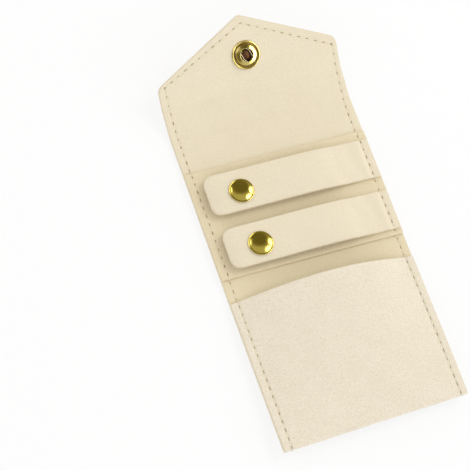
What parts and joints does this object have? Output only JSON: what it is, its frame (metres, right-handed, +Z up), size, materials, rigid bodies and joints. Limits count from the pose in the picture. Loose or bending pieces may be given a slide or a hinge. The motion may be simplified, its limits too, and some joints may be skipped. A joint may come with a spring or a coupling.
{
  "type": "earring book",
  "caption": "Trifold suede-cloth jewellery book, open: pointed snap flap, back panel with snap straps for earrings and rings, and a front panel with a pocket.",
  "frame": {"origin": "centre of the back panel's outer face, which lies on the table", "axes": "+X to the side seam that holds the straps, +Y towards the flap's point, +Z up out of the book's inside"},
  "size_m": [0.072, 0.1627, 0.0186],
  "materials": {
    "outer_cloth": "cream microfibre suede, matt with a short nap",
    "lining_cloth": "cream microfibre suede, matt with a short nap",
    "strap_cloth": "cream microfibre suede, matt with a short nap",
    "brass": "polished gold-coloured brass",
    "spring_wire": "drawn spring wire"
  },
  "bodies": {
    "back": {"outer_back": "outer_cloth", "lining_back": "lining_cloth", "holder_panel": "lining_cloth", "earring_strap_end": "strap_cloth", "ring_strap_end": "strap_cloth", "earring_stud": "brass", "earring_rivet": "brass", "ring_stud": "brass", "ring_rivet": "brass"},
    "flap_fold": {"outer_flap_fold": "outer_cloth", "lining_flap_fold": "lining_cloth"},
    "flap": {"outer_flap": "outer_cloth", "lining_flap": "lining_cloth", "closure_cap": "brass", "closure_socket": "brass", "closure_spring_a": "spring_wire", "closure_spring_b": "spring_wire"},
    "front_fold": {"outer_front_fold": "outer_cloth", "lining_front_fold": "lining_cloth"},
    "front": {"outer_front": "outer_cloth", "lining_front": "lining_cloth", "pocket_panel": "outer_cloth", "closure_stud": "brass", "closure_rivet": "brass"},
    "earring_strap": {"earring_strap_under": "strap_cloth", "earring_strap_face": "strap_cloth", "earring_cap": "brass", "earring_socket": "brass", "earring_spring_a": "spring_wire", "earring_spring_b": "spring_wire"},
    "ring_strap": {"ring_strap_under": "strap_cloth", "ring_strap_face": "strap_cloth", "ring_cap": "brass", "ring_socket": "brass", "ring_spring_a": "spring_wire", "ring_spring_b": "spring_wire"}
  },
  "joints": [
    {"name": "flap_crease", "type": "hinge", "parent": "back", "child": "flap_fold", "pos_m": [0, 0.0298, 0.0012], "axis": [1, 0, 0], "range_deg": [-13.4, 73.26]},
    {"name": "flap_upper_crease", "type": "hinge", "parent": "flap_fold", "child": "flap", "pos_m": [0, 0.04079, 0.00423], "axis": [1, 0, 0], "range_deg": [-13.4, 73.26]},
    {"name": "front_crease", "type": "hinge", "parent": "back", "child": "front_fold", "pos_m": [0, -0.0298, 0.0012], "axis": [-1, 0, 0], "range_deg": [0, 89.04]},
    {"name": "front_lower_crease", "type": "hinge", "parent": "front_fold", "child": "front", "pos_m": [0, -0.0382, 0.00134], "axis": [-1, 0, 0], "range_deg": [0, 89.04]},
    {"name": "earring_strap_swing", "type": "hinge", "parent": "back", "child": "earring_strap", "pos_m": [0.0316, 0.0026, 0.003], "axis": [0, 1, 0], "range_deg": [0, 165]},
    {"name": "ring_strap_swing", "type": "hinge", "parent": "back", "child": "ring_strap", "pos_m": [0.0316, -0.01905, 0.003], "axis": [0, 1, 0], "range_deg": [0, 165]}
  ],
  "couplings": [
    {"joint": "flap_upper_crease", "follows": "flap_crease", "ratio": 1},
    {"joint": "front_lower_crease", "follows": "front_crease", "ratio": 1}
  ]
}
